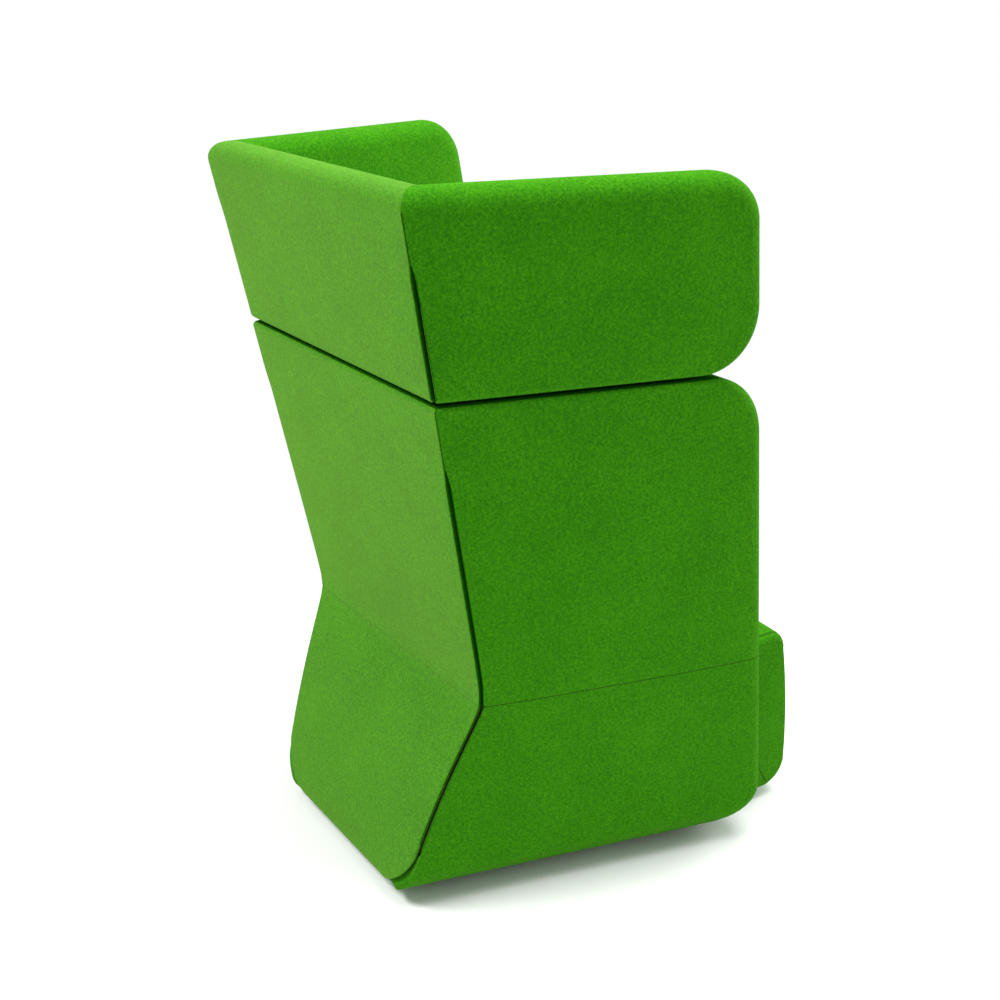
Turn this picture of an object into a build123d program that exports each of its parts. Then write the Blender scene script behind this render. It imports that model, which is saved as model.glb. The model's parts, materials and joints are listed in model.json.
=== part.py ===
from build123d import *
import math
import os

os.makedirs("parts", exist_ok=True)

# High back lounge chair, millimetres, +Z up, facing -Y, origin on the floor under the middle.

# Heights above the floor
overall_height = 1250.0
wing_height = 317.0
joint_gap = 10.0
waist_height = 393.0
panel_ground = 14.0

# Planes of the outer faces, leaning and splayed in degrees
reference_height = 500.0
front_edge_y = -238.2
front_edge_lean = 8.5
side_half_width = 426.0
side_splay = 13.8
side_lean = 5.7
back_waist_y = 262.3
back_upper_lean = 10.8
back_lower_flare = 19.8

# Padded panels: a plywood core in foam under a felt cover
panel_thickness = 80.0
core_thickness = 18.0
core_corner = 40.0
cover_thickness = 1.5
cover_clearance = 0.2
mitre_gap = 2.0
edge_radius = 24.0
wing_top_corner = 85.0
wing_bottom_corner = 110.0
shell_top_corner = 100.0
shell_bottom_corner = 85.0

# Seat block between the side panels
seat_overhang = 118.0
seat_bottom = 56.0
seat_skirt_bottom = 20.0
seat_edge_height = 370.0
seat_crown = 22.0
seat_front_bulge = 6.0
seat_front_radius = 30.0
seat_foot_radius = 48.0
seat_clearance = 0.5

# Seat frame of plywood boards with webbing
board_thickness = 18.0
board_top = 236.0
block_size = 42.0
block_height = 90.0
strap_width = 50.0
strap_thickness = 2.2
long_straps = 5
cross_straps = 4
dust_cloth_thickness = 1.0

# Runners and levelling glides
runner_width = 46.0
runner_bottom = 10.5
runner_front_y = -247.0
runner_rear_y = 150.0
glide_front_y = -210.0
glide_rear_y = 110.0
glide_radius = 15.0
glide_height = 10.2
stud_radius = 4.0
stud_length = 30.0
stud_clearance = 0.05
insert_radius = 6.5
insert_length = 22.0

# Bolts from the seat frame into the side cores
bolt_radius = 4.0
bolt_head_radius = 7.5
bolt_head_height = 5.0
bolt_height = 150.0
bolt_rows = (-150.0, 75.0)
bolt_clearance = 0.2
nut_radius = 6.0
nut_flange_radius = 11.0
nut_flange = 1.5

# Steel plates and battens that tie the panels together
plate_width = 40.0
plate_thickness = 4.0
plate_reach = 75.0
side_plate_rows = (-75.0, 145.0)
back_plate_offset = 170.0
screw_radius = 2.2
screw_head_radius = 4.2
screw_head_height = 2.4
screw_inset = 18.0
batten_size = 24.0
batten_end = 45.0
fit_clearance = 0.3
cut_margin = 30.0


def tangent(angle):
    return math.tan(math.radians(angle))


side_slope = math.sqrt(1 + tangent(side_splay) ** 2 + tangent(side_lean) ** 2)
upper_slope = math.sqrt(1 + tangent(back_upper_lean) ** 2)
lower_slope = math.sqrt(1 + tangent(back_lower_flare) ** 2)
front_slope = math.sqrt(1 + tangent(front_edge_lean) ** 2)

core_outer = (panel_thickness - core_thickness) / 2
core_inner = core_outer + core_thickness
cover_inset = cover_thickness + cover_clearance
seat_depth = panel_thickness + seat_clearance
board_outer = seat_depth + cover_thickness + fit_clearance
board_inner = board_outer + board_thickness
joint_height = overall_height - wing_height
shell_top = joint_height - joint_gap / 2
wing_bottom = joint_height + joint_gap / 2


# Half width of the chair at a place, measured a depth inside the outer side face
def half_width(y, z, depth):
    outer = side_half_width - (y - front_edge_y) * tangent(side_splay)
    return outer + (z - reference_height) * tangent(side_lean) - depth * side_slope


# Front edge plane, a depth behind the edge
def front_y(z, depth):
    return front_edge_y + (z - reference_height) * tangent(front_edge_lean) + depth * front_slope


# Rear faces above and below the waist, a depth inside the outer face
def upper_y(z, depth):
    return back_waist_y + (z - waist_height) * tangent(back_upper_lean) - depth * upper_slope


def lower_y(z, depth):
    return back_waist_y + (waist_height - z) * tangent(back_lower_flare) - depth * lower_slope


# Height of the bend where the two rear faces meet at a depth
def waist_z(depth):
    bend = tangent(back_upper_lean) + tangent(back_lower_flare)
    return waist_height + depth * (upper_slope - lower_slope) / bend


# The seat's rear meets the bend of the back, and its sides turn forward at the panels' front edge
seat_rear_y = upper_y(waist_z(panel_thickness), panel_thickness) - seat_clearance
seat_knee_y = front_y(seat_edge_height, 0)
seat_nose_y = seat_knee_y - seat_overhang


def side_point(sign, y, z, depth):
    return Vector(sign * half_width(y, z, depth), y, z)


# Closed solid with flat faces, each given by the numbers of its corners
def flat_solid(points, faces):
    sides = [Face(Wire.make_polygon([points[i] for i in face])) for face in faces]
    return Solid(Shell(sides))


# Prism between two loops with the same number of corners
def prism(first, second):
    count = len(first)
    faces = [list(range(count)), list(range(count, 2 * count))]
    for i in range(count):
        j = (i + 1) % count
        faces.append([i, j, count + j, count + i])
    return flat_solid(first + second, faces)


# Loop of a side panel at a depth, with its edges moved in, ending on the mitre at the rear
def side_loop(sign, low, high, depth, inset, bent, cut=0):
    bottom = low + inset
    top = high - inset
    clear = mitre_gap / 2 + 1.5 * inset
    places = [(front_y(bottom, inset), bottom), (front_y(top, inset), top)]
    if cut:
        lower_corner = [(front_y(bottom, inset) + cut, bottom), (front_y(bottom + cut, inset), bottom + cut)]
        upper_corner = [(front_y(top - cut, inset), top - cut), (front_y(top, inset) + cut, top)]
        places = lower_corner + upper_corner
    places.append((upper_y(top, depth) - clear, top))
    if bent:
        waist = waist_z(depth)
        places.append((upper_y(waist, depth) - clear, waist))
        places.append((lower_y(bottom, depth) - clear, bottom))
    else:
        places.append((upper_y(bottom, depth) - clear, bottom))
    return [side_point(sign, y, z, depth) for y, z in places]


def side_slab(sign, low, high, bent, outer, inner, inset):
    return prism(
        side_loop(sign, low, high, outer, inset, bent),
        side_loop(sign, low, high, inner, inset, bent),
    )


# Loop across the back at a depth, ending on the mitres at both sides
def back_loop(low, high, depth, inset, bent):
    bottom = low + inset
    top = high - inset
    clear = mitre_gap / 2 + 1.5 * inset
    places = [(upper_y(top, depth), top)]
    if bent:
        waist = waist_z(depth)
        places.append((upper_y(waist, depth), waist))
        places.append((lower_y(bottom, depth), bottom))
    else:
        places.append((upper_y(bottom, depth), bottom))
    right = [Vector(-half_width(y, z, depth) + clear, y, z) for y, z in places]
    left = [Vector(half_width(y, z, depth) - clear, y, z) for y, z in reversed(places)]
    return right + left


def back_slab(low, high, bent, outer, inner, inset):
    first = back_loop(low, high, outer, inset, bent)
    second = back_loop(low, high, inner, inset, bent)
    if not bent:
        return prism(first, second)
    points = first + second
    faces = [[0, 1, 4, 5], [1, 2, 3, 4], [6, 7, 10, 11], [7, 8, 9, 10]]
    for i in range(6):
        j = (i + 1) % 6
        faces.append([i, j, 6 + j, 6 + i])
    return flat_solid(points, faces)


# Board of the back below the waist
def lower_back_board(low, outer, inner, inset):
    loops = []
    for depth in (outer, inner):
        bottom = low + inset
        waist = waist_z(depth)
        clear = mitre_gap / 2 + 1.5 * inset
        loop = []
        for sign, heights in ((-1, (waist, bottom)), (1, (bottom, waist))):
            for z in heights:
                y = lower_y(z, depth)
                loop.append(Vector(sign * (half_width(y, z, depth) - clear), y, z))
        loops.append(loop)
    return prism(loops[0], loops[1])


# Board of the back above the waist
def upper_back_board(high, outer, inner, inset):
    loops = []
    for depth in (outer, inner):
        top = high - inset
        waist = waist_z(depth)
        clear = mitre_gap / 2 + 1.5 * inset
        loop = []
        for sign, heights in ((-1, (top, waist)), (1, (waist, top))):
            for z in heights:
                y = upper_y(z, depth)
                loop.append(Vector(sign * (half_width(y, z, depth) - clear), y, z))
        loops.append(loop)
    return prism(loops[0], loops[1])


# Round the corners of a side panel in its own plane, then the edges of its two faces
def round_side(slab, sign, low, high, bent, outer, inner, inset, low_corner, high_corner):
    for z, radius in ((low + inset, low_corner), (high - inset, high_corner)):
        y = front_y(z, inset)
        middle = side_point(sign, y, z, (outer + inner) / 2)
        corner = slab.edges().sort_by_distance(middle)[0]
        slab = slab.fillet(radius - inset, [corner])
    rims = []
    for edge in slab.edges():
        place = edge @ 0.5
        on_face = [abs(abs(place.X) - half_width(place.Y, place.Z, d)) < 0.01 for d in (outer, inner)]
        depth = outer if on_face[0] else inner
        clear = mitre_gap / 2 + 1.5 * inset
        rear = upper_y(place.Z, depth) - clear
        if bent:
            rear = max(rear, lower_y(place.Z, depth) - clear)
        if any(on_face) and place.Y < rear - 1:
            rims.append(edge)
    return slab.fillet(edge_radius - inset, rims)


# Round the top and bottom edges of a back panel
def round_back(slab, low, high, inset):
    rims = []
    for edge in slab.edges():
        place = edge @ 0.5
        level = abs(place.Z - low - inset) < 0.01 or abs(place.Z - high + inset) < 0.01
        if level and abs(place.X) < 1:
            rims.append(edge)
    return slab.fillet(edge_radius - inset, rims)


# Plywood core of a side panel, with its front corners cut off
def side_core(sign, low, high, bent):
    return prism(
        side_loop(sign, low, high, core_outer, core_outer, bent, core_corner),
        side_loop(sign, low, high, core_inner, core_outer, bent, core_corner),
    )


def side_pad(sign, low, high, bent, inset, low_corner, high_corner):
    outer = inset
    inner = panel_thickness - inset
    slab = side_slab(sign, low, high, bent, outer, inner, inset)
    return round_side(slab, sign, low, high, bent, outer, inner, inset, low_corner, high_corner)


def back_pad(low, high, bent, inset):
    slab = back_slab(low, high, bent, inset, panel_thickness - inset, inset)
    return round_back(slab, low, high, inset)


# Outward direction of a side panel, and the frame at a place on it
def side_frame(sign, y, z, depth):
    outward = Vector(sign, tangent(side_splay), -tangent(side_lean))
    return Plane(side_point(sign, y, z, depth), z_dir=outward)


def back_frame(x, z, depth):
    outward = Vector(0, 1, -tangent(back_upper_lean))
    return Plane(Vector(x, upper_y(z, depth), z), z_dir=outward)


# Round bar along a frame's axis, from one level to another
def bar(frame, radius, start, end):
    return frame.location * Pos(0, 0, (start + end) / 2) * Cylinder(radius, abs(end - start))


# Bolt from inside the seat frame to the core's outer face, with its tee nut
def bolt_set(sign, y):
    frame = side_frame(sign, y, bolt_height, core_outer)
    head = board_inner - core_outer
    bolt = bar(frame, bolt_radius, -head, -nut_flange)
    bolt += bar(frame, bolt_head_radius, -head - bolt_head_height, -head)
    nut = bar(frame, nut_radius, -core_thickness + 4, 0) + bar(frame, nut_flange_radius, 0, nut_flange)
    nut -= bar(frame, bolt_radius + stud_clearance, -core_thickness, 2 * nut_flange)
    way = bar(frame, bolt_radius + bolt_clearance, -head, -core_thickness + 4)
    seat = bar(frame, nut_radius, -core_thickness + 4, 0) + bar(frame, nut_flange_radius, 0, nut_flange)
    return bolt, nut, way, seat


# Plate across the open joint on the inner face of the side cores, with room around it
def side_plate(sign, y, room):
    loops = []
    for depth in (core_inner, core_inner + plate_thickness + room):
        loop = []
        for dy, dz in ((0, -1), (1, -1), (1, 1), (0, 1)):
            along = y + dy * plate_width + (2 * dy - 1) * room
            up = joint_height + dz * (plate_reach + room)
            loop.append(side_point(sign, along, up, depth))
        loops.append(loop)
    return prism(loops[0], loops[1])


def back_plate(x, room):
    loops = []
    half = plate_width / 2 + room
    for depth in (core_inner, core_inner + plate_thickness + room):
        loop = []
        for dx, dz in ((-1, -1), (1, -1), (1, 1), (-1, 1)):
            up = joint_height + dz * (plate_reach + room)
            loop.append(Vector(x + dx * half, upper_y(up, depth), up))
        loops.append(loop)
    return prism(loops[0], loops[1])


# Screw with its head on the plate and its shank in the core
def screw(frame, room):
    head = bar(frame, screw_head_radius + room, 0, -screw_head_height - room)
    return head + bar(frame, screw_radius, 0, plate_thickness + core_thickness - 4)


def screw_heights():
    far = plate_reach - screw_inset
    near = core_outer + joint_gap
    return [joint_height + d for d in (-far, -near, near, far)]


# Wooden batten in the corner between the inner faces of the side and back cores
def corner_batten(sign, low, high, room):
    loops = []
    near = core_inner
    far = core_inner + batten_size + room
    for z in (low - room, high + room):
        loop = []
        for side_depth, back_depth in ((near, near), (far, near), (far, far), (near, far)):
            y = upper_y(z, back_depth)
            loop.append(side_point(sign, y, z, side_depth))
        loops.append(loop)
    return prism(loops[0], loops[1])


# Seat block: sides beside the panels that run straight forward past the knee, crowned top, leaning front
def seat_block(inset):
    low = seat_skirt_bottom - cut_margin
    high = seat_edge_height + 4 * seat_crown
    front = front_y(low, 0) - seat_overhang - cut_margin
    rear = seat_rear_y - inset
    depth = seat_depth + inset
    loops = []
    for z in (low, high):
        loop = []
        for sign, plan in ((-1, (rear, seat_knee_y, front)), (1, (front, seat_knee_y, rear))):
            for y in plan:
                loop.append(Vector(sign * half_width(max(y, seat_knee_y), z, depth), y, z))
        loops.append(loop)
    block = prism(loops[0], loops[1])
    return block & seat_profile(inset) & seat_dome(inset)


# Side view of the seat, drawn across its whole width: the front roll reaches down before the frame
def seat_profile(inset):
    base = seat_skirt_bottom + inset
    low = seat_bottom - 1 if inset else seat_bottom
    top = seat_edge_height - inset
    rear = seat_rear_y - inset
    step = seat_knee_y - inset
    round_top = seat_front_radius - inset
    round_foot = seat_foot_radius - inset
    foot_z = base + round_foot
    nose_z = top - round_top
    middle_z = (foot_z + nose_z) / 2
    foot_y, middle_y, nose_y = (front_y(z, inset) - seat_overhang for z in (foot_z, middle_z, nose_z))
    share = 1 - math.sqrt(0.5)
    with BuildSketch(Plane.YZ) as sketch:
        with BuildLine():
            start = (foot_y + round_foot, base)
            foot = (foot_y, foot_z)
            nose = (nose_y, nose_z)
            crest = (nose_y + round_top, top)
            ThreePointArc(start, (foot_y + round_foot * share, base + round_foot * share), foot)
            ThreePointArc(foot, (middle_y - seat_front_bulge, middle_z), nose)
            ThreePointArc(nose, (nose_y + round_top * share, top - round_top * share), crest)
            Polyline(crest, (rear, top + 3 * seat_crown), (rear, low), (step, low), (step, base), start)
        make_face()
    return extrude(sketch.sketch, amount=side_half_width, both=True)


# Large ball whose top is the seat's crown, highest over the middle of the seat
def seat_dome(inset):
    middle = (seat_nose_y + seat_rear_y) / 2
    reach = math.hypot(half_width(middle, seat_edge_height, seat_depth), seat_rear_y - middle)
    radius = (reach ** 2 + seat_crown ** 2) / (2 * seat_crown)
    centre = seat_edge_height + seat_crown - radius
    return Pos(0, middle, centre) * Sphere(radius - inset)


# Upright board beside a side panel, or between two such boards
def side_board(sign, front, rear, outer, inner, low, high):
    loops = []
    for depth in (outer, inner):
        places = [(front, low), (rear, low), (rear, high), (front, high)]
        loops.append([side_point(sign, y, z, depth) for y, z in places])
    return prism(loops[0], loops[1])


def cross_board(front, rear, depth, low, high):
    loops = []
    for y in (front, rear):
        places = [(-1, low), (1, low), (1, high), (-1, high)]
        loops.append([side_point(sign, y, z, depth) for sign, z in places])
    return prism(loops[0], loops[1])


def save(name, shape):
    export_step(shape, f"parts/{name}.step")


def save_group(name, shapes):
    export_step(Compound(children=list(shapes)), f"parts/{name}.step")


sides = (("left", 1), ("right", -1))
shell_low = panel_ground
batten_low = waist_height + batten_end
batten_high = shell_top - batten_end
wing_batten_low = wing_bottom + batten_end
wing_batten_high = overall_height - batten_end
frame_front = seat_knee_y + fit_clearance
frame_rear = seat_rear_y - cover_thickness - fit_clearance

# Fasteners, and the room that they need in foam and covers
bolts = []
nuts = []
screws = []
room_by_side = {1: [], -1: []}
core_cuts = {1: [], -1: []}
seat_cuts = []
for name, sign in sides:
    for y in bolt_rows:
        bolt, nut, way, seat = bolt_set(sign, y)
        bolts.append(bolt)
        nuts.append(nut)
        seat_cuts.append(way)
        room_by_side[sign] += [way, seat]
        core_cuts[sign] += [way, seat]

plates = {"left": [], "right": [], "back": []}
plate_room = {1: [], -1: [], 0: []}
screw_cuts = {1: [], -1: [], 0: []}
plate_face = core_inner + plate_thickness
for name, sign in sides:
    for y in side_plate_rows:
        plate = side_plate(sign, y, 0)
        plate_room[sign].append(side_plate(sign, y, fit_clearance))
        for z in screw_heights():
            frame = side_frame(sign, y + plate_width / 2, z, plate_face)
            pin = screw(frame, 0)
            plate -= pin
            screws.append(pin)
            screw_cuts[sign].append(pin)
            plate_room[sign].append(screw(frame, fit_clearance))
        plates[name].append(plate)
for x in (-back_plate_offset, back_plate_offset):
    plate = back_plate(x, 0)
    plate_room[0].append(back_plate(x, fit_clearance))
    for z in screw_heights():
        frame = back_frame(x, z, plate_face)
        pin = screw(frame, 0)
        plate -= pin
        screws.append(pin)
        screw_cuts[0].append(pin)
        plate_room[0].append(screw(frame, fit_clearance))
    plates["back"].append(plate)
save_group("seat_frame_bolts", bolts)
save_group("tee_nuts", nuts)
save_group("plate_screws", screws)
for name in plates:
    save_group(f"join_plates_{name}", plates[name])

# Corner battens of the shell and of the wing screen
battens = {}
batten_room = {}
for name, sign in sides:
    battens["shell", sign] = corner_batten(sign, batten_low, batten_high, 0)
    battens["wing", sign] = corner_batten(sign, wing_batten_low, wing_batten_high, 0)
    batten_room["shell", sign] = corner_batten(sign, batten_low, batten_high, fit_clearance)
    batten_room["wing", sign] = corner_batten(sign, wing_batten_low, wing_batten_high, fit_clearance)
    save(f"shell_corner_batten_{name}", battens["shell", sign])
    save(f"wing_corner_batten_{name}", battens["wing", sign])

# Side panels of the shell and of the wing screen
for name, sign in sides:
    levels = {
        "shell_side": (shell_low, shell_top, True, shell_bottom_corner, shell_top_corner, "shell"),
        "wing_side": (wing_bottom, overall_height, False, wing_bottom_corner, wing_top_corner, "wing"),
    }
    for panel, (low, high, bent, low_corner, high_corner, post) in levels.items():
        core = side_core(sign, low, high, bent)
        outer = side_pad(sign, low, high, bent, 0, low_corner, high_corner)
        hollow = side_pad(sign, low, high, bent, cover_thickness, low_corner, high_corner)
        foam = side_pad(sign, low, high, bent, cover_inset, low_corner, high_corner)
        foam -= [core, batten_room[post, sign]] + plate_room[sign]
        cover = outer - hollow
        cover -= [batten_room[post, sign]] + plate_room[sign]
        core -= screw_cuts[sign]
        if bent:
            foam -= room_by_side[sign]
            cover -= room_by_side[sign]
            core -= core_cuts[sign]
        save(f"{panel}_core_{name}", core)
        save(f"{panel}_foam_{name}", foam)
        save(f"{panel}_cover_{name}", cover)

# Back panels: the bent one of the shell and the flat one of the wing screen
shell_cores = {
    "shell_back_core_upper": upper_back_board(shell_top, core_outer, core_inner, core_outer),
    "shell_back_core_lower": lower_back_board(shell_low, core_outer, core_inner, core_outer),
}
wing_core = back_slab(wing_bottom, overall_height, False, core_outer, core_inner, core_outer)
back_sets = {
    "shell_back": (shell_low, shell_top, True, list(shell_cores.values()), "shell"),
    "wing_back": (wing_bottom, overall_height, False, [wing_core], "wing"),
}
for panel, (low, high, bent, cores, post) in back_sets.items():
    cover = back_pad(low, high, bent, 0) - back_pad(low, high, bent, cover_thickness)
    foam = back_pad(low, high, bent, cover_inset)
    room = [batten_room[post, sign] for name, sign in sides] + plate_room[0]
    foam -= cores + room
    save(f"{panel}_cover", cover - room)
    save(f"{panel}_foam", foam)
save("shell_back_core_upper", shell_cores["shell_back_core_upper"] - screw_cuts[0])
save("shell_back_core_lower", shell_cores["shell_back_core_lower"])
save("wing_back_core", wing_core - screw_cuts[0])

# Seat frame: four boards, corner blocks and webbing
for name, sign in sides:
    board = side_board(sign, frame_front, frame_rear, board_outer, board_inner, seat_bottom + 1, board_top)
    save(f"seat_side_board_{name}", board - seat_cuts)
inner_front = frame_front + board_thickness
inner_rear = frame_rear - board_thickness
front_board = cross_board(frame_front, inner_front, board_inner, seat_bottom + 1, board_top)
rear_board = cross_board(inner_rear, frame_rear, board_inner, seat_bottom + 1, board_top)
save("seat_front_board", front_board)
save("seat_rear_board", rear_board)
blocks = []
for name, sign in sides:
    for front in (inner_front, inner_rear - block_size):
        low = board_top - block_height
        block = side_board(sign, front, front + block_size, board_inner, board_inner + block_size, low, board_top)
        blocks.append(block)
save_group("seat_corner_blocks", blocks)

straps = []
for i in range(long_straps):
    share = (i + 0.5) / long_straps * 2 - 1
    reach = half_width(frame_rear, board_top, board_inner) - strap_width / 2
    place = Pos(share * reach, (frame_front + frame_rear) / 2, board_top + strap_thickness / 2)
    straps.append(place * Box(strap_width, frame_rear - frame_front, strap_thickness))
save_group("seat_webbing_long", straps)
straps = []
for i in range(cross_straps):
    y = inner_front + (i + 0.5) / cross_straps * (inner_rear - inner_front)
    reach = half_width(y + strap_width / 2, board_top, board_outer)
    place = Pos(0, y, board_top + strap_thickness * 1.5)
    straps.append(place * Box(2 * reach, strap_width, strap_thickness))
save_group("seat_webbing_cross", straps)

# Seat foam and cover around the frame
seat_hollow = seat_block(cover_thickness)
seat_cover = seat_block(0) - seat_hollow
web_top = board_top + 2 * strap_thickness
pocket = cross_board(frame_front, seat_rear_y, 0, 0, web_top)
save("seat_foam", seat_block(cover_inset) - pocket)
save("seat_cover", seat_cover - seat_cuts)

# Runners under the seat frame, with the glides that level the chair
runner_inner = board_outer + runner_width
cloth_top = seat_bottom + 1
cloth = cross_board(frame_front, frame_rear, board_outer + fit_clearance, cloth_top - dust_cloth_thickness, cloth_top)
inserts = []
for name, sign in sides:
    runner = side_board(sign, runner_front_y, runner_rear_y, board_outer, runner_inner, runner_bottom, cloth_top)
    cloth -= runner
    for end, y in (("front", glide_front_y), ("rear", glide_rear_y)):
        x = sign * half_width(y, runner_bottom, (board_outer + runner_inner) / 2)
        foot = Plane(Vector(x, y, 0))
        insert_top = runner_bottom + insert_length
        stud_top = glide_height + stud_length
        insert = bar(foot, insert_radius, runner_bottom, insert_top)
        runner -= insert
        runner -= bar(foot, stud_radius + fit_clearance, insert_top, stud_top + fit_clearance)
        inserts.append(insert - bar(foot, stud_radius + stud_clearance, 0, insert_top + 1))
        pad = bar(foot, glide_radius, 0, glide_height)
        rim = pad.edges().sort_by(Axis.Z)[0]
        socket = glide_height / 2
        pad = fillet(rim, 2.0) - bar(foot, stud_radius, socket, glide_height + 1)
        save(f"glide_pad_{end}_{name}", pad)
        save(f"glide_stud_{end}_{name}", bar(foot, stud_radius, socket, stud_top))
    save(f"runner_{name}", runner)
save_group("glide_inserts", inserts)
save("seat_dust_cloth", cloth)
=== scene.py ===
import json
import math

import bmesh
import bpy
import numpy as np
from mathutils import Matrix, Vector


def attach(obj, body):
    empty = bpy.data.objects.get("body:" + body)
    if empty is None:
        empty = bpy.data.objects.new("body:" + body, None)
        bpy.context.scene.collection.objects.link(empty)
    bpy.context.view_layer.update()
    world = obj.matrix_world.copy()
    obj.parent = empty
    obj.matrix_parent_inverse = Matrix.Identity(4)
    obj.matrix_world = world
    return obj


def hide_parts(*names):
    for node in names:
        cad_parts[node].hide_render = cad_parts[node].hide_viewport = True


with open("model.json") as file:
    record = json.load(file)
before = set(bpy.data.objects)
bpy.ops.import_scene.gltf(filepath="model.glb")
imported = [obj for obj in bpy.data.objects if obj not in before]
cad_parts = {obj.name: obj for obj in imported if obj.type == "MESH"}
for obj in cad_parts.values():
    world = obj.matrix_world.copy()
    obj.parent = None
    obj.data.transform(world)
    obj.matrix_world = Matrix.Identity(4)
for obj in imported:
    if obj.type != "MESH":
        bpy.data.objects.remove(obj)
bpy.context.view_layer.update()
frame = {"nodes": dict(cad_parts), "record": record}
nodes = frame["nodes"]

# Outer planes of the padded panels in metres and degrees; the chair faces -Y
chair = {
    "top": 1.250,
    "joint": 0.933,
    "gap": 0.0035,  # width of the open joint
    "waist": 0.393,
    "ground": 0.0155,  # bottom edge of the panels
    "referenceHeight": 0.500,  # height at which frontY and halfWidth are measured
    "frontY": -0.2382,
    "frontLean": 8.5,
    "halfWidth": 0.426,
    "splay": 13.8,
    "lean": 5.7,
    "waistY": 0.2623,
    "upperLean": 10.8,
    "lowerFlare": 19.8,
    "bendBlend": 0.013,
    "lowerBulge": 0.012,  # swelling of the lower back
    "footOut": 0.014,  # how far the sides turn outward at the bottom
    "footBack": 0.012,  # how far their front edge goes back at the bottom
    "thick": 0.080,
}

# Corner seam between a side and the back, sewn shut near the top edge and open below it
cornerSeam = {
    "gap": 0.0004,
    "openGap": 0.0036,
    "radius": 0.0014,
    "openRadius": 0.0024,
    "sewn": 0.088,
    "opening": 0.045,  # length over which it opens
    "openDepth": 0.020,
    "closing": 0.020,  # depth over which it closes again
}


# Tangent of one of the chair's angles
def slope(name):
    return math.tan(math.radians(chair[name]))


# Length along an axis for one unit of depth square to the leaning face
sideScale = math.sqrt(1 + slope("splay") ** 2 + slope("lean") ** 2)
upperScale = math.sqrt(1 + slope("upperLean") ** 2)
lowerScale = math.sqrt(1 + slope("lowerFlare") ** 2)


# 0 at the waist and above it, 1 at the bottom edge
def belowWaist(z):
    return np.clip((chair["waist"] - z) / (chair["waist"] - chair["ground"]), 0, 1)


# Half width at a place, a depth inside the outer side face, which turns outward below the waist
def halfWidth(y, z, depth):
    outer = chair["halfWidth"] - (y - chair["frontY"]) * slope("splay")
    outer = outer + (z - chair["referenceHeight"]) * slope("lean")
    return outer + chair["footOut"] * belowWaist(z) - depth * sideScale


# Front edge of the side panels at a height, a leaning line
def frontEdge(z):
    return chair["frontY"] + (z - chair["referenceHeight"]) * slope("frontLean")


# Rear face at a height and depth: the upper plane and the slightly swollen lower one, blended at the bend
def rearFace(z, depth):
    upper = chair["waistY"] + (z - chair["waist"]) * slope("upperLean") - depth * upperScale
    lower = chair["waistY"] + (chair["waist"] - z) * slope("lowerFlare") - depth * lowerScale
    share = belowWaist(z)
    lower = lower + chair["lowerBulge"] * 4 * share * (1 - share)
    return (upper + lower + np.sqrt((upper - lower) ** 2 + chair["bendBlend"] ** 2)) / 2


# Eased step from 0 to 1
def ease(t):
    t = np.clip(t, 0, 1)
    return t * t * (3 - 2 * t)


# Quarter round: its whole depth at the edge and nothing beyond its reach
def roundOff(left, reach, depth):
    t = np.clip(1 - left / reach, 0, 1)
    return depth * (1 - np.sqrt(1 - t ** 2))


# Spacing from 0 to 1 that is finer at the end
def finerAtEnd(count):
    t = np.linspace(0, 1, count)
    return 1 - (1 - t) ** 2


# Column of spacing from -1 to 1 that is finer at both ends
def finerAtBothEnds(count):
    half = finerAtEnd(count)
    return np.concatenate([-half[::-1], half[1:]])[:, None]


# How far the corner seam stands open: an eased step below the sewn length, times one in the outer depth
def seamOpen(z, depth, top):
    below = ease((top - cornerSeam["sewn"] - z) / cornerSeam["opening"])
    return below * (1 - ease((depth - cornerSeam["openDepth"]) / cornerSeam["closing"]))


# Radius of the edges that turn into the seam, between shut and open
def seamRadius(opened):
    return cornerSeam["radius"] + opened * (cornerSeam["openRadius"] - cornerSeam["radius"])


# Distance of each panel from the mitre, between shut and open
def seamGap(opened):
    return cornerSeam["gap"] + opened * (cornerSeam["openGap"] - cornerSeam["gap"])


weldDistance = 2e-5
sliverLength = 1e-6


# Mesh from points and quads, welded where points meet, with faces turned outward
def makeMesh(name, points, quads):
    mesh = bpy.data.meshes.new(name)
    mesh.from_pydata(points.reshape(-1, 3).tolist(), [], quads.reshape(-1, 4).tolist())
    work = bmesh.new()
    work.from_mesh(mesh)
    bmesh.ops.remove_doubles(work, verts=work.verts, dist=weldDistance)
    bmesh.ops.dissolve_degenerate(work, edges=work.edges, dist=sliverLength)
    bmesh.ops.recalc_face_normals(work, faces=work.faces)
    work.to_mesh(mesh)
    work.free()
    mesh.polygons.foreach_set("use_smooth", np.ones(len(mesh.polygons), dtype=bool))
    piece = bpy.data.objects.new(name, mesh)
    bpy.context.collection.objects.link(piece)
    return piece


# Numbers of the points of a grid, row by row
def gridIndex(points):
    return np.arange(points.shape[0] * points.shape[1]).reshape(points.shape[:2])


# Grid whose first column comes again at the end, so that its rows close
def closedRows(index):
    return np.concatenate([index, index[:, :1]], axis=1)


# Quads between neighbouring rows and columns of a grid of point numbers
def gridQuads(index):
    corners = (index[:-1, :-1], index[1:, :-1], index[1:, 1:], index[:-1, 1:])
    return np.stack(corners, axis=-1).reshape(-1, 4)


# Quads that close an end: each point of the row is tied to its partner on the other face
def capQuads(row):
    half = len(row) // 2
    near = row[: half + 1]
    far = row[::-1][: half + 1]
    return np.stack([near[:-1], near[1:], far[1:], far[:-1]], axis=-1)


# Stretch of an outline: one row for each value, with single numbers repeated along it
def stretch(*values):
    return np.stack(np.broadcast_arrays(*values))


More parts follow.
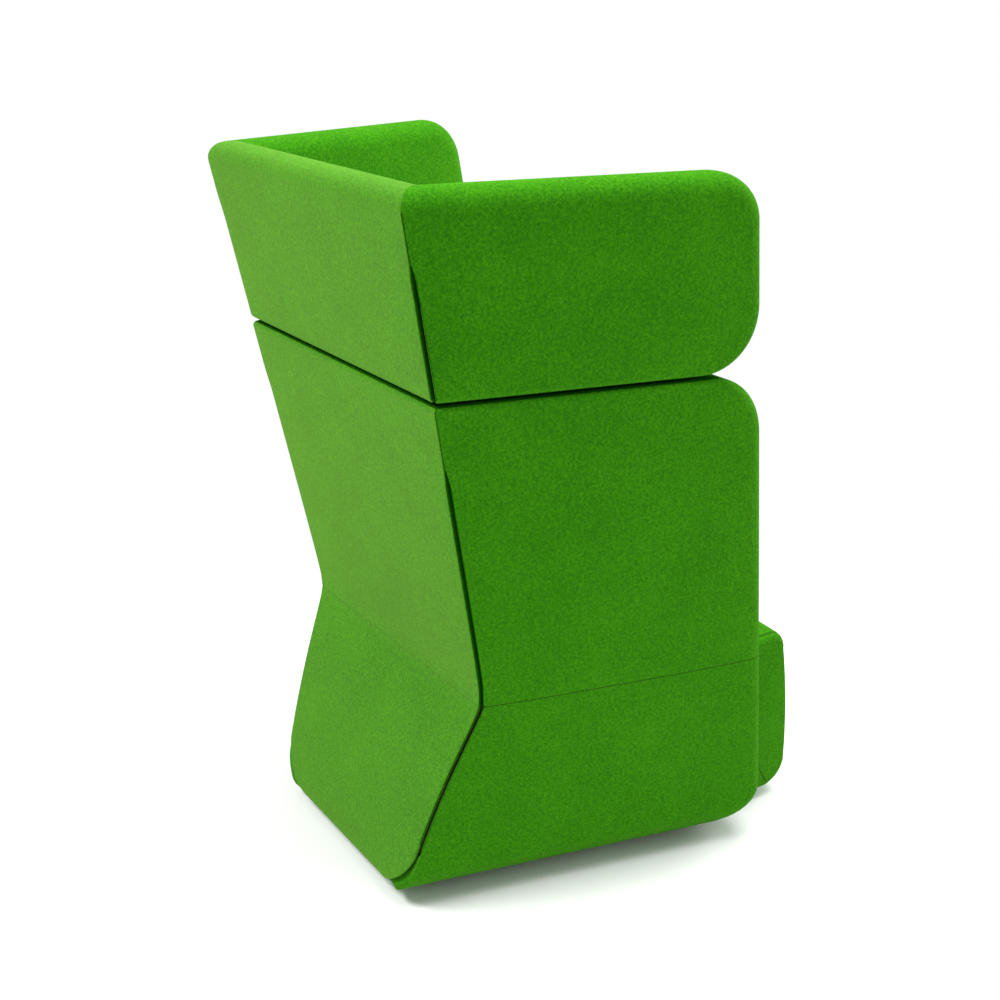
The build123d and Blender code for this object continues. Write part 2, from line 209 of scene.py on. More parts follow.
# Number of points on the stretches of a panel
panelGrid = {
    "length": 46,
    "corner": 22,
    "front": 34,
    "face": 26,
    "round": 13,
    "edge": 5,
    "rise": 24,
    "half": 44,
}

# How the padding of a panel swells and ends
padding = {
    "sideSwell": 2.2,  # power of the crown's fall to the edges
    "sideFade": 5,  # power of the crown's fall to the mitre
    "backSwell": 4,
    "backFade": 6,
    "cornerStop": 0.004,  # the back panel's rounded corner stops this short of the side's inner face
    "tuckStart": 0.004,  # depth of the rounded corner over which the fold under it begins
    "tuckRun": 0.020,  # length of the fold over which it sinks
}


# Open outline of a side panel: along the bottom to the front, round its corners, along the top. Its rows are
# y, z, the direction into the panel, reach (0 at the front, 1 at the rear end), and how far the front and
# the top have come (0 to 1).
def sideOutline(size):
    low = size["low"]
    high = size["high"]
    lean = math.radians(chair["frontLean"])
    lowR = size["lowCorner"]
    highR = size["highCorner"]
    lowY = frontEdge(low + lowR) + lowR / math.cos(lean)
    highY = frontEdge(high - highR) + highR / math.cos(lean)
    reach = finerAtEnd(panelGrid["length"])
    arc = np.linspace(0, 1, panelGrid["corner"])
    along = np.linspace(0, 1, panelGrid["front"])[1:-1]

    # Points on an arc about a centre, with the direction to it
    def cornerStretch(y, z, radius, angle, front, top):
        inY = -np.cos(angle)
        inZ = -np.sin(angle)
        return stretch(y - radius * inY, z - radius * inZ, inY, inZ, 0, front, top)

    lowAngle = -math.pi / 2 - arc * (math.pi / 2 + lean)
    highAngle = math.pi - lean - arc * (math.pi / 2 - lean)
    lowTurn = cornerStretch(lowY, low + lowR, lowR, lowAngle, arc, 0)
    highTurn = cornerStretch(highY, high - highR, highR, highAngle, 1, arc)
    # These two runs stay at the corners here, and their reach carries them back to the mitre later
    bottomRun = stretch(lowY, low, 0, 1, reach[::-1], 0, 0)
    topRun = stretch(highY, high, 0, -1, reach, 1, 1)
    start = lowTurn[:2, -1:]
    frontY, frontZ = start + along * (highTurn[:2, :1] - start)
    frontRun = stretch(frontY, frontZ, math.cos(lean), -math.sin(lean), 0, 1, 0)
    return np.concatenate([bottomRun, lowTurn, frontRun, highTurn, topRun], axis=1)


# How far in the back panel's rounded lower corner starts at a height
def cornerDepth(z, size):
    return roundOff(z - size["low"] - size["wrap"], size["sideCorner"], size["cornerIn"])


# Inner edge of the fold at a side panel's lower rear end: the felt runs on under the rounded corner of the
# back panel, in by the corner's depth and a tuck, and sinks a little
def cornerFold(sign, rim, rimDepth, back):
    corner = cornerDepth(rim[:, 2], back)
    inner = np.maximum(rimDepth, corner + back["tuckIn"] * ease(corner / padding["tuckStart"]))
    y = rim[:, 1] - back["tuckDown"] * ease((inner - rimDepth) / padding["tuckRun"])
    x = sign * halfWidth(y, rim[:, 2], np.minimum(inner, chair["thick"]))
    return np.stack([x, y, rim[:, 2]], axis=-1)


# Padded side panel. Each point of the outline carries a profile from the middle of the inner face, round
# the edge, to the middle of the outer face. The last rows end on the mitre with the back panel, and
# the rounded bottom edge runs on to the rear face, round the corner of the back panel.
def sidePanel(name, sign, size, back):
    y, z, inY, inZ, reach, front, top = (row[:, None] for row in sideOutline(size))
    thick = chair["thick"]
    face = 1 - finerAtEnd(panelGrid["face"])[None, :-1]
    turn = np.linspace(0, math.pi / 2, panelGrid["round"])[None, :]
    flat = np.linspace(0, 1, panelGrid["edge"])[None, 1:-1]

    # Edge radius along the outline, eased from the bottom to the front and from there to the top
    def edgeRadius(bottom):
        radius = bottom + ease(front) * (size["front"] - bottom)
        return radius + ease(top) * (size["topEdge"] - size["front"])

    # Outline moved in by a share of the edge radius
    def insetRow(radius, share):
        return y + inY * (radius * share), z + inZ * (radius * share)

    # Straight lines from where the rounding ends to the middle of the face
    def faceRow(radius):
        rimY, rimZ = insetRow(radius, np.ones_like(face))
        return rimY + face * (size["spineY"] - rimY), rimZ + face * (size["spine"] - rimZ)

    outerR = edgeRadius(size["bottomOuter"])
    innerR = edgeRadius(size["bottomInner"])
    outerTurn = turn[:, ::-1]
    rows = [
        faceRow(innerR),
        insetRow(innerR, 1 - np.sin(turn)),
        insetRow(outerR, np.zeros_like(flat)),
        insetRow(outerR, 1 - np.sin(outerTurn)),
        [part[:, ::-1] for part in faceRow(outerR)],
    ]
    py = np.concatenate([row[0] for row in rows], axis=1)
    pz = np.concatenate([row[1] for row in rows], axis=1)

    # Depth below the outer plane, with the crown on both faces
    bulge = size["crown"] * (1 - (1 - face) ** padding["sideSwell"]) * np.ones_like(y)
    innerDepth = thick - innerR * (1 - np.cos(turn))
    outerDepth = outerR * (1 - np.cos(outerTurn))
    edgeDepth = innerDepth[:, -1:] + flat * (outerDepth[:, :1] - innerDepth[:, -1:])
    depth = np.concatenate([thick + bulge, innerDepth, edgeDepth, outerDepth, -bulge[:, ::-1]], axis=1)
    level = np.clip(depth, 0, thick)
    depth = level + (depth - level) * (1 - reach ** padding["sideFade"])

    # Rear end: each row is carried back to the mitre and its edge turns into the seam
    py = py + chair["footBack"] * belowWaist(pz) * (1 - reach)
    opened = seamOpen(pz, level, size["high"])
    radius = seamRadius(opened)
    outerStart = depth.shape[1] - outerDepth.shape[1] - bulge.shape[1]
    outerBottom = (np.arange(depth.shape[1])[None, :] >= outerStart) & (front == 0)
    under = roundOff(pz - size["low"], size["bottomEdge"], size["bottomEdge"])
    mitreDepth = np.where(outerBottom, under, level)
    rear = rearFace(pz, np.maximum(mitreDepth, radius)) - seamGap(opened)
    py = py + reach * (rear - py)
    sink = roundOff((1 - reach) * (rear - y), radius, radius)
    depth = np.where(sink > 0, np.maximum(depth, sink), depth)
    points = np.stack([sign * halfWidth(py, pz, depth), py, pz], axis=-1)
    index = gridIndex(points)

    # The lower rear end is closed by way of the fold, the upper one straight across
    half = points.shape[1] // 2 + 1
    fold = cornerFold(sign, points[0][::-1][:half], level[0][::-1][:half], back)
    foldIndex = index.size + np.arange(half)
    ends = np.stack([index[0][::-1][:half], foldIndex, index[0][:half]])
    quads = np.concatenate([gridQuads(index), gridQuads(ends), capQuads(index[-1])])
    return makeMesh(name, np.concatenate([points.reshape(-1, 3), fold]), quads)


# Padded back panel: a closed section of height and depth, drawn across between the two mitres
def backPanel(name, size):
    thick = chair["thick"]
    topR = size["topEdge"]
    bottomR = size["bottomEdge"]
    spans = list(zip(size["cuts"][:-1], size["cuts"][1:]))
    turn = np.linspace(0, math.pi / 2, panelGrid["round"])
    rise = np.concatenate([np.linspace(low, high, panelGrid["rise"]) for low, high in spans])
    rise = np.unique(rise)[1:-1]
    lowTurn = size["low"] + bottomR * (1 - np.cos(turn))
    highTurn = size["high"] - topR * (1 - np.sin(turn))
    z = np.concatenate([lowTurn, rise, highTurn])
    inset = np.concatenate([bottomR * (1 - np.sin(turn)), 0 * rise, topR * (1 - np.cos(turn))])

    # Crown of each span, which falls to nothing at its ends
    lift = np.zeros_like(z)
    for low, high in spans:
        share = np.clip((z - low) / (high - low), 0, 1)
        swell = size["crown"] * (1 - (2 * share - 1) ** padding["backSwell"])
        lift = lift + swell * ((z > low) & (z < high))
    z = np.concatenate([z, z[::-1]])
    section = np.concatenate([inset - lift, (thick - inset + lift)[::-1]])
    across = finerAtBothEnds(panelGrid["half"])
    depth = np.broadcast_to(section, (len(across), len(section)))
    height = np.broadcast_to(z, depth.shape)
    level = np.clip(depth, 0, thick)
    depth = level + (depth - level) * (1 - across ** padding["backFade"])

    # Ends: each row stops at the mitre, or at the rounded lower corner, and its edge turns into the seam
    opened = seamOpen(height, level, size["high"])
    radius = seamRadius(opened)
    corner = np.minimum(cornerDepth(height, size), thick - padding["cornerStop"])
    endDepth = np.maximum(np.maximum(level, corner), radius)
    end = halfWidth(rearFace(height, np.maximum(level, radius)), height, endDepth) - seamGap(opened)
    sink = roundOff((1 - np.abs(across)) * end, radius, radius)
    depth = np.where(sink > 0, np.maximum(depth, sink), depth)
    points = np.stack([across * end, rearFace(height, depth), height], axis=-1)
    index = gridIndex(points)
    quads = np.concatenate([gridQuads(closedRows(index)), capQuads(index[0]), capQuads(index[-1])])
    return makeMesh(name, points, quads)


# Sizes of the panels: corner radii in side view, radii of the padded edges, middle of the face, crown
gapHalf = chair["gap"] / 2
wingSide = {
    "low": chair["joint"] + gapHalf,
    "high": chair["top"],
    "lowCorner": 0.098,
    "highCorner": 0.085,
    "front": 0.038,
    "topEdge": 0.037,
    "bottomOuter": 0.012,
    "bottomInner": 0.012,
    "bottomEdge": 0.012,
    "spine": 1.094,
    "spineY": -0.005,
    "crown": 0.004,
}
shellSide = {
    "low": chair["ground"],
    "high": chair["joint"] - gapHalf,
    "lowCorner": 0.085,
    "highCorner": 0.122,
    "front": 0.038,
    "topEdge": 0.012,
    "bottomOuter": 0.073,
    "bottomInner": 0.006,
    "bottomEdge": 0.030,
    "spine": chair["waist"],
    "spineY": -0.035,
    "crown": 0.005,
}
wingBack = {
    "low": wingSide["low"],
    "high": wingSide["high"],
    "topEdge": wingSide["topEdge"],
    "bottomEdge": wingSide["bottomEdge"],
    "sideCorner": wingSide["bottomOuter"],
    "cornerIn": wingSide["bottomOuter"],
    "wrap": 0.002,
    "tuckIn": 0.004,
    "tuckDown": 0.003,
    "cuts": (wingSide["low"] + wingSide["bottomEdge"], wingSide["high"] - wingSide["topEdge"]),
    "crown": 0.004,
}
shellBack = {
    "low": shellSide["low"],
    "high": shellSide["high"],
    "topEdge": shellSide["topEdge"],
    "bottomEdge": shellSide["bottomEdge"],
    "sideCorner": 0.105,
    "cornerIn": 0.105,
    "wrap": 0.008,
    "tuckIn": 0.014,
    "tuckDown": 0.007,
    "cuts": (
        shellSide["low"] + shellSide["bottomEdge"],
        chair["waist"],
        shellSide["high"] - shellSide["topEdge"],
    ),
    "crown": 0.005,
}

# Seat block between the side panels
seat = {
    "overhang": 0.124,
    "rearY": 0.1791,
    "bottom": 0.056,
    "skirt": 0.020,  # lower edge of the front roll
    "edge": 0.370,
    "crown": 0.022,
    "crownAcross": 0.6,  # share of the crown that falls to the sides, the rest falls to front and rear
    "crownFade": 8,  # power of that fall at the sides
    "noseR": 0.032,
    "footR": 0.048,
    "bulge": 0.006,
    "sideDepth": 0.0805,
    "sideR": 0.018,
    "drawY": 0.5,  # shares of the side rounding that draw the loop in
    "drawZ": 0.6,
    "drawReachY": 0.25,  # distance from the loop's middle at which they are reached
    "drawReachZ": 0.15,
    "soleSlack": 0.001,  # the sole up to here keeps its length
    "endY": -0.28,  # where the rings of the end faces meet
    "endZ": 0.20,
    "endRings": (0.94, 0.8, 0.55, 0.3, 0.0),
}
# Number of points on the stretches of the seat
seatGrid = {
    "under": 30,
    "drop": 6,
    "sole": 12,
    "round": 16,
    "front": 26,
    "over": 40,
    "rear": 16,
    "half": 48,
}


# Front of the seat at a height, in front of the panels' edge
def seatFront(z):
    return frontEdge(z) - seat["overhang"]


# Side view of the seat as a closed loop of (y, z): under the frame, down the front roll, up and back
def seatLoop():
    footR = seat["footR"]
    noseR = seat["noseR"]
    footZ = seat["skirt"] + footR
    noseZ = seat["edge"] - noseR
    step = frontEdge(seat["edge"])
    turn = np.linspace(0, math.pi / 2, seatGrid["round"])
    under = np.linspace(seat["rearY"], step, seatGrid["under"])
    drop = np.linspace(seat["bottom"], seat["skirt"], seatGrid["drop"])[1:]
    sole = np.linspace(step, seatFront(footZ) + footR, seatGrid["sole"])[1:-1]
    rise = np.linspace(0, 1, seatGrid["front"])[1:-1]
    over = np.linspace(seatFront(noseZ) + noseR, seat["rearY"], seatGrid["over"])[1:]
    down = np.linspace(seat["edge"], seat["bottom"], seatGrid["rear"])[1:-1]
    frontZ = footZ + rise * (noseZ - footZ)
    footY = seatFront(footZ) + footR * (1 - np.sin(turn))
    noseY = seatFront(noseZ) + noseR * (1 - np.cos(turn))
    stretches = [
        stretch(under, seat["bottom"]),
        stretch(step, drop),
        stretch(sole, seat["skirt"]),
        stretch(footY, seat["skirt"] + footR * (1 - np.cos(turn))),
        stretch(seatFront(frontZ) - seat["bulge"] * (1 - (2 * rise - 1) ** 2), frontZ),
        stretch(noseY, noseZ + noseR * np.sin(turn)),
        stretch(over, seat["edge"]),
        stretch(seat["rearY"], down),
    ]
    return np.concatenate(stretches, axis=1)


# The seat's sides lie along the panels and run straight forward past their front edge
def seatSide(y, z):
    return halfWidth(np.maximum(y, frontEdge(seat["edge"])), z, seat["sideDepth"])


# Padded seat: the loop drawn across, drawn in at both side seams, with a crown over the top. The ends
# are closed by rings that shrink to a point.
def seatPiece(name):
    y, z = seatLoop()
    across = finerAtBothEnds(seatGrid["half"])
    noseY = seatFront(seat["edge"])
    centreY = (noseY + seat["rearY"]) / 2
    centreZ = (seat["skirt"] + seat["edge"]) / 2
    sink = roundOff((1 - np.abs(across)) * seatSide(y, z), seat["sideR"], seat["sideR"])
    inY = np.clip((centreY - y) / seat["drawReachY"], -1, 1) * (z > seat["skirt"] + seat["soleSlack"])
    inZ = np.clip((centreZ - z) / seat["drawReachZ"], -1, 1)
    py = y + inY * sink * seat["drawY"]
    pz = z + inZ * sink * seat["drawZ"]
    depthShare = np.clip((y - noseY) / (seat["rearY"] - noseY), 0, 1)
    top = np.clip((z - seat["edge"] + seat["noseR"]) / seat["noseR"], 0, 1)
    domeAlong = (1 - (2 * depthShare - 1) ** 2) * (1 - across ** seat["crownFade"])
    dome = (1 - across ** 2) * seat["crownAcross"] + domeAlong * (1 - seat["crownAcross"])
    pz = pz + seat["crown"] * top * dome
    points = np.stack([across * seatSide(py, pz), py, pz], axis=-1)
    index = gridIndex(points)
    quads = [gridQuads(closedRows(index))]
    pieces = [points.reshape(-1, 3)]
    number = index.size
    for row, sign in ((0, -1), (-1, 1)):
        last = points[row]
        previous = index[row]
        for share in seat["endRings"]:
            ringY = seat["endY"] + (last[:, 1] - seat["endY"]) * share
            ringZ = seat["endZ"] + (last[:, 2] - seat["endZ"]) * share
            pieces.append(np.stack([sign * seatSide(ringY, ringZ), ringY, ringZ], axis=-1))
            current = np.arange(number, number + len(last))
            quads.append(gridQuads(closedRows(np.stack([previous, current]))))
            number += len(last)
            previous = current
    return makeMesh(name, np.concatenate(pieces), np.concatenate(quads))


# Shader maths: wraps a socket so that formulas read as formulas
class Field:
    def __init__(self, tree, socket):
        self.tree = tree
        self.socket = socket

    # New node with its settings and inputs, as the field of one of its outputs
    def node(self, kind, inputs, output=0, **settings):
        made = self.tree.nodes.new(kind)
        for key, value in settings.items():
            setattr(made, key, value)
        for key, value in inputs.items():
            if isinstance(value, Field):
                self.tree.links.new(value.socket, made.inputs[key])
            else:
                made.inputs[key].default_value = value
        return Field(self.tree, made.outputs[output])

    # One operation on fields or numbers
    def maths(self, operation, a, b=0.0):
        return self.node("ShaderNodeMath", {0: a, 1: b}, operation=operation)

    def __add__(self, other):
        return self.maths("ADD", self, other)

    def __sub__(self, other):
        return self.maths("SUBTRACT", self, other)

    def __rsub__(self, other):
        return self.maths("SUBTRACT", other, self)

    def __mul__(self, other):
        return self.maths("MULTIPLY", self, other)

    def __abs__(self):
        return self.maths("ABSOLUTE", self)

    # The x, y and z of a place
    def split(self):
        return [self.node("ShaderNodeSeparateXYZ", {"Vector": self}, output=axis) for axis in range(3)]

    # 1 where the field is under the inner width, 0 beyond the outer width
    def within(self, inner, outer):
        limits = {"Value": self, "From Min": inner, "From Max": outer, "To Min": 1.0, "To Max": 0.0}
        return self.node("ShaderNodeMapRange", limits, interpolation_type="SMOOTHSTEP")

    # Cloudy noise from 0 to 1 at a place
    def noise(self, scale, detail=2.0):
        inputs = {"Vector": self, "Scale": scale, "Detail": detail, "Roughness": 0.55}
        return self.node("ShaderNodeTexNoise", inputs)

    # Blend of two colours by a factor
    def blend(self, first, second):
        inputs = {0: self, 6: first, 7: second}
        return self.node("ShaderNodeMix", inputs, output=2, data_type="RGBA")


# Material with its shader and the place on the object as a field
def newMaterial(name):
    material = bpy.data.materials.new(name)
    material.use_nodes = True
    tree = material.node_tree
    coordinates = tree.nodes.new("ShaderNodeTexCoord")
    place = Field(tree, coordinates.outputs["Object"])
    return material, tree.nodes["Principled BSDF"], place


# Links a field to the shader's socket of that name, or sets a number or colour on it
def setShader(shader, **values):
    for key, value in values.items():
        socket = shader.inputs[key.replace("_", " ")]
        if isinstance(value, Field):
            value.tree.links.new(value.socket, socket)
        else:
            socket.default_value = value


# Relief from a height field
def addBump(shader, height, strength, distance):
    inputs = {"Height": height, "Strength": strength, "Distance": distance}
    setShader(shader, Normal=height.node("ShaderNodeBump", inputs))


# Felt: colours, its sheen, whose stronger and weaker weights make lit and shaded copies of it as painted
# light, and the scales and shares of its fibres, flecks and clouds
felt = {
    "dark": (0.011, 0.134, 0.0004, 1),
    "base": (0.022, 0.188, 0.0006, 1),
    "pale": (0.044, 0.250, 0.0022, 1),
    "seam": (0.006, 0.053, 0.0004, 1),
    # Sheen weights of the lit copy (backs) and the shaded copy (sides and seat): painted light
    "litSheen": 0.155,
    "shadedSheen": 0.055,
    "napRoughness": 0.8,
    "napTint": (0.86, 1.0, 0.33, 1),
    "roughness": 0.95,
    "fibreScale": 620.0,
    "fibreDetail": 3.0,
    "fleckScale": 210.0,
    "cloudScale": 9.0,
    "fibreTone": 0.55,
    "fleckTone": 0.45,
    "cloudTone": 0.12,
    "darkTone": (0.40, 0.50),
    "paleTone": (0.51, 0.61),
    "fibreHeight": 0.6,
    "fleckHeight": 0.4,
    "relief": 0.35,
    "reliefDepth": 0.0012,
}

# Pressed seam at the waist, and two rows of stitches with a valley between them along the seat's side edges
waistSeam = {
    "width": (0.0005, 0.0018),
    "depth": 3.0,
    "onSides": 0.7,
    "onBack": 0.3,
}
stitching = {
    "rows": (0.006, 0.018),
    "threadWidth": (0.0004, 0.0011),
    "threadTone": 0.6,
    "threadHeight": 1.5,
    "halfPitch": 0.0035,
    "gapWidth": (0.0006, 0.0012),
    "valley": 0.012,
    "valleyWidth": (0.0006, 0.0030),
    "valleyTone": 0.7,
    "valleyDepth": 3.0,
}

# Painted shade inside the joint and the corner seams: darker felt colours, used without sheen, and which
# faces carry it
paintedGrooveShade = {
    "dark": (0.006, 0.062, 0.0002, 1),
    "base": (0.010, 0.090, 0.0003, 1),
    "pale": (0.018, 0.115, 0.0008, 1),
    "seamFacing": 0.8,
    "seamFoot": 0.13,
    "jointReach": 0.0045,
    "jointFacing": 0.4,
}


# Distance in from the seat's side edge, as a field: the half width there, without the turn outward below
# the waist, less the distance from the middle
def seatInside(x, y, z):
    front = y.maths("MAXIMUM", y, frontEdge(seat["edge"]))
    edge = (chair["frontY"] - front) * slope("splay") + (z - chair["referenceHeight"]) * slope("lean")
    return edge + (chair["halfWidth"] - seat["sideDepth"] * sideScale) - abs(x)


# Wool felt: mixed dark and pale fibres, a fine fuzz, and where asked a pressed seam at the waist
# or the rows of stitches on the seat
def feltMaterial(name, seam=None, stitched=False, sheen=felt["litSheen"], tones=felt):
    material, shader, place = newMaterial(name)
    fibres = place.noise(felt["fibreScale"], felt["fibreDetail"])
    flecks = place.noise(felt["fleckScale"])
    cloud = place.noise(felt["cloudScale"])
    tone = fibres * felt["fibreTone"] + flecks * felt["fleckTone"]
    tone = tone + cloud * felt["cloudTone"] - felt["cloudTone"] / 2
    colour = tone.within(*felt["darkTone"]).blend(tones["base"], tones["dark"])
    colour = (1.0 - tone.within(*felt["paleTone"])).blend(colour, tones["pale"])
    height = fibres * felt["fibreHeight"] + flecks * felt["fleckHeight"]
    if seam is not None:
        z = place.split()[2]
        line = abs(z - chair["waist"]).within(*waistSeam["width"])
        colour = (line * seam).blend(colour, felt["seam"])
        height = height - line * waistSeam["depth"] * seam
    if stitched:
        x, y, z = place.split()
        inside = seatInside(x, y, z)
        gap = y.maths("PINGPONG", y + z, stitching["halfPitch"]).within(*stitching["gapWidth"])
        first, second = (abs(inside - row).within(*stitching["threadWidth"]) for row in stitching["rows"])
        stitch = (first + second) * (1.0 - gap)
        valley = abs(inside - stitching["valley"]).within(*stitching["valleyWidth"])
        colour = (valley * stitching["valleyTone"]).blend(colour, felt["seam"])
        colour = (stitch * stitching["threadTone"]).blend(colour, felt["pale"])
        height = height - valley * stitching["valleyDepth"] + stitch * stitching["threadHeight"]
    setShader(shader, Base_Color=colour, Roughness=felt["roughness"], Specular_IOR_Level=0.0)
    setShader(shader, Sheen_Weight=sheen, Sheen_Roughness=felt["napRoughness"], Sheen_Tint=felt["napTint"])
    addBump(shader, height, felt["relief"], felt["reliefDepth"])
    return material


wood = {
    "stretch": (60.0, 60.0, 4.0),
    "grainScale": 3.0,
    "grainDetail": 5.0,
    "grainTone": (0.35, 0.65),
    "roughness": 0.6,
    "relief": 0.15,
    "reliefDepth": 0.001,
}


# Plywood and beech: long grain with darker pores
def woodMaterial(name, pale, dark):
    material, shader, place = newMaterial(name)
    stretched = place.node("ShaderNodeMapping", {"Vector": place, "Scale": wood["stretch"]})
    grain = stretched.noise(wood["grainScale"], wood["grainDetail"])
    colour = grain.within(*wood["grainTone"]).blend(dark, pale)
    setShader(shader, Base_Color=colour, Roughness=wood["roughness"])
    addBump(shader, grain, wood["relief"], wood["reliefDepth"])
    return material


steel = {
    "dark": (0.50, 0.51, 0.53, 1),
    "pale": (0.66, 0.67, 0.69, 1),
    "markScale": 400.0,
    "markDetail": 3.0,
    "roughness": 0.28,
    "markRoughness": 0.2,
}


# Zinc plated steel with faint rolling marks
def steelMaterial(name):
    material, shader, place = newMaterial(name)
    marks = place.noise(steel["markScale"], steel["markDetail"])
    colour = marks.blend(steel["dark"], steel["pale"])
    roughness = marks * steel["markRoughness"] + steel["roughness"]
    setShader(shader, Base_Color=colour, Metallic=1.0, Roughness=roughness)
    return material


nylon = {
    "dark": (0.012, 0.012, 0.012, 1),
    "pale": (0.03, 0.03, 0.03, 1),
    "sparkScale": 1500.0,
    "roughness": 0.55,
    "relief": 0.2,
    "reliefDepth": 0.0004,
}


# Moulded nylon with a fine spark texture
def nylonMaterial(name):
    material, shader, place = newMaterial(name)
    spark = place.noise(nylon["sparkScale"])
    colour = spark.blend(nylon["dark"], nylon["pale"])
    setShader(shader, Base_Color=colour, Roughness=nylon["roughness"])
    addBump(shader, spark, nylon["relief"], nylon["reliefDepth"])
    return material


strap = {
    "dark": (0.015, 0.015, 0.015, 1),
    "pale": (0.05, 0.05, 0.05, 1),
    "webbingScale": 300.0,
    "clothScale": 900.0,
    "distortion": 1.0,
    "roughness": 0.9,
    "relief": 0.3,
    "reliefDepth": 0.0008,
}


# Woven strap or non-woven cloth, as waves of light and dark thread
def strapMaterial(name, scale):
    material, shader, place = newMaterial(name)
    inputs = {"Vector": place, "Scale": scale, "Distortion": strap["distortion"]}
    wave = place.node("ShaderNodeTexWave", inputs, output=1)
    colour = wave.blend(strap["dark"], strap["pale"])
    setShader(shader, Base_Color=colour, Roughness=strap["roughness"])
    addBump(shader, wave, strap["relief"], strap["reliefDepth"])
    return material


# Lit and shaded copies of one felt, painted light: the backs get the stronger sheen and look paler, the
# sides and the seat the weaker one
plainFelt = feltMaterial("greenFelt")
wingFelt = feltMaterial("greenFeltWing", sheen=felt["shadedSheen"])
sideFelt = feltMaterial("greenFeltSide", seam=waistSeam["onSides"], sheen=felt["shadedSheen"])
backFelt = feltMaterial("greenFeltBack", seam=waistSeam["onBack"])
seatFelt = feltMaterial("greenFeltStitched", stitched=True, sheen=felt["shadedSheen"])
# Darker copy of the felt without sheen: painted shade inside the joint and the corner seams
paintedShadeFelt = feltMaterial("greenFeltPaintedShade", sheen=0.0, tones=paintedGrooveShade)
print("felts made")


# Puts the second material, the darker felt without sheen that paints shade, on faces that look into the
# joint or into a corner seam: the rear ends of the sides look backward, and both ends of the backs look
# sideways
def setPaintedShade(piece, form):
    faces = piece.data.polygons
    normal = np.empty(len(faces) * 3)
    centre = np.empty(len(faces) * 3)
    faces.foreach_get("normal", normal)
    faces.foreach_get("center", centre)
    normal = normal.reshape(-1, 3)
    height = centre.reshape(-1, 3)[:, 2]
    toward = normal[:, 1] if form == "side" else np.abs(normal[:, 0])
    seam = (toward > paintedGrooveShade["seamFacing"]) & (height > paintedGrooveShade["seamFoot"])
    joint = np.abs(height - chair["joint"]) < paintedGrooveShade["jointReach"]
    joint &= np.abs(normal[:, 2]) > paintedGrooveShade["jointFacing"]
    faces.foreach_set("material_index", (seam | joint).astype(np.int32))


# Panels and seat: piece, the nodes that it stands for, its cloth, and its form
made = []
for side, sign in (("left", 1), ("right", -1)):
    shellPiece = sidePanel("shellSide_" + side, sign, shellSide, shellBack)
    made.append((shellPiece, (f"shell_side_cover_{side}", f"shell_side_foam_{side}"), sideFelt, "side"))
    wingPiece = sidePanel("wingSide_" + side, sign, wingSide, wingBack)
    made.append((wingPiece, (f"wing_side_cover_{side}", f"wing_side_foam_{side}"), wingFelt, "side"))
made.append((backPanel("shellBack", shellBack), ("shell_back_cover", "shell_back_foam"), backFelt, "back"))
made.append((backPanel("wingBack", wingBack), ("wing_back_cover", "wing_back_foam"), plainFelt, "back"))
made.append((seatPiece("seatPad"), ("seat_cover", "seat_foam"), seatFelt, "seat"))
for piece, stands, cloth, form in made:
    piece.data.materials.append(cloth)
    piece.data.materials.append(paintedShadeFelt)
    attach(piece, "chair")
    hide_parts(*stands)
    if form != "seat":
        setPaintedShade(piece, form)
print("padded pieces", len(made))

# Finishes of the inner construction
finishes = {
    "plywood": woodMaterial("birchPlywood", pale=(0.62, 0.45, 0.27, 1), dark=(0.45, 0.30, 0.16, 1)),
    "beech": woodMaterial("planedBeech", pale=(0.60, 0.38, 0.22, 1), dark=(0.44, 0.26, 0.14, 1)),
    "steel": steelMaterial("zincSteel"),
    "glide_plastic": nylonMaterial("nylon"),
    "webbing": strapMaterial("elasticWebbing", strap["webbingScale"]),
    "dust_cloth": strapMaterial("dustCloth", strap["clothScale"]),
    "felt": plainFelt,
    "foam": plainFelt,
}
for entry in frame["record"]["subparts"]:
    target = nodes[entry["node"]]
    target.data.materials.clear()
    target.data.materials.append(finishes[entry["material_slot"]])
print("finishes set")

# Pale floor that turns white away from the chair, and the light from all around
studio = {
    "floorHalf": 9.0,
    "paint": (0.98, 0.98, 0.98, 1),
    "white": (1, 1, 1, 1),
    "whiteBetween": (0.7, 1.3),
    "ambient": (0.52, 0.52, 0.52, 1),
}


# 1 for rays that show the background: straight to the camera, or by way of metal or glass
def seenRays(tree):
    path = tree.nodes.new("ShaderNodeLightPath")
    names = ("Is Camera Ray", "Is Glossy Ray", "Is Transmission Ray")
    camera, glossy, through = (Field(tree, path.outputs[name]) for name in names)
    return camera + glossy + through


# Floor paint: its shader near the chair, and beyond it plain white wherever the floor is seen
def floorMaterial(name):
    material, shader, place = newMaterial(name)
    setShader(shader, Base_Color=studio["paint"], Roughness=1.0, Specular_IOR_Level=0.0)
    tree = material.node_tree
    away = place.node("ShaderNodeVectorMath", {0: place}, output=1, operation="LENGTH")
    white = place.node("ShaderNodeEmission", {"Color": studio["white"], "Strength": 1.0})
    paper = (1.0 - away.within(*studio["whiteBetween"])) * seenRays(tree)
    mixed = paper.node("ShaderNodeMixShader", {0: paper, 1: Field(tree, shader.outputs[0]), 2: white})
    tree.links.new(mixed.socket, tree.nodes["Material Output"].inputs["Surface"])
    return material


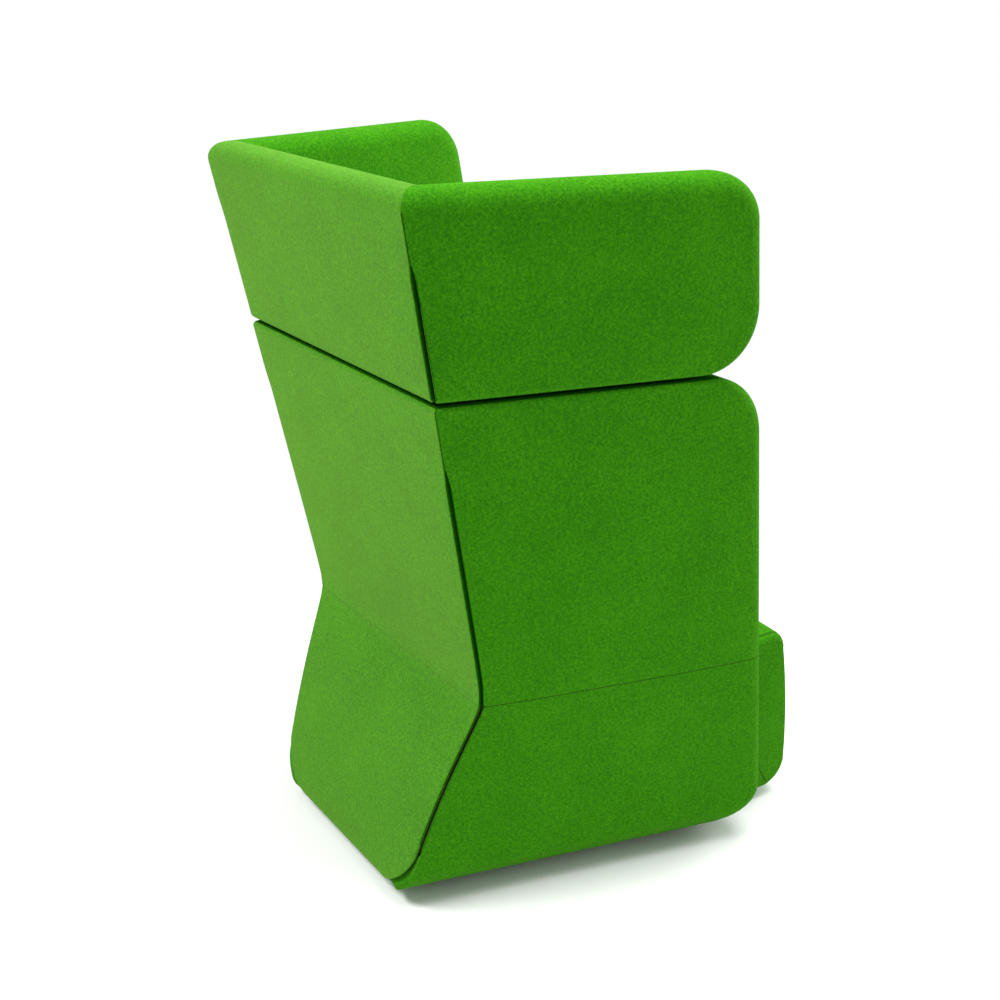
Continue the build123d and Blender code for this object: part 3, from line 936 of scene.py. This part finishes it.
far = studio["floorHalf"]
floorMesh = bpy.data.meshes.new("floor")
floorMesh.from_pydata([(-far, -far, 0), (far, -far, 0), (far, far, 0), (-far, far, 0)], [], [(0, 1, 2, 3)])
floor = bpy.data.objects.new("floor", floorMesh)
bpy.context.collection.objects.link(floor)
floor.data.materials.append(floorMaterial("floorPaint"))

# Soft lights: place, the point they aim at, size in metres, power in watts
lights = {
    "rearLight": ((1.4, 3.4, 4.9), (0, 0.1, 0.4), (2.4, 2.0), 265),
    "topLight": ((-0.5, -0.7, 3.4), (0.0, 0.0, 0.9), (2.2, 2.2), 110),
    "frontLight": ((-0.6, -4.2, 2.2), (0, -0.2, 0.7), (2.2, 2.2), 90),
}
for name, (place, aim, size, power) in lights.items():
    data = bpy.data.lights.new(name, "AREA")
    data.shape = "RECTANGLE"
    data.size, data.size_y = size
    data.energy = power
    lamp = bpy.data.objects.new(name, data)
    lamp.location = place
    lamp.rotation_mode = "QUATERNION"
    lamp.rotation_quaternion = (Vector(aim) - Vector(place)).to_track_quat("-Z", "Y")
    bpy.context.collection.objects.link(lamp)

scene = bpy.context.scene
scene.world = bpy.data.worlds.new("studio")
scene.world.use_nodes = True
worldTree = scene.world.node_tree
ambient = seenRays(worldTree).blend(studio["ambient"], studio["white"])
worldTree.links.new(ambient.socket, worldTree.nodes["Background"].inputs["Color"])
print("floor and lights set")

# Camera at the photograph's place: behind the sitter's right, looking down
view = {
    "place": (-1.9729, 1.3429, 1.5344),
    "yaw": math.radians(-33.485),
    "pitch": math.radians(21.233),
    "lens": 49.82,
    "sensor": 36,
}
cameraData = bpy.data.cameras.new("camera")
cameraData.sensor_width = view["sensor"]
cameraData.lens = view["lens"]
camera = bpy.data.objects.new("camera", cameraData)
run = math.cos(view["pitch"])
aim = Vector((math.cos(view["yaw"]) * run, math.sin(view["yaw"]) * run, -math.sin(view["pitch"])))
camera.location = view["place"]
camera.rotation_mode = "QUATERNION"
camera.rotation_quaternion = aim.to_track_quat("-Z", "Y")
bpy.context.collection.objects.link(camera)
scene.camera = camera
scene.view_settings.view_transform = "Standard"
print("camera set")
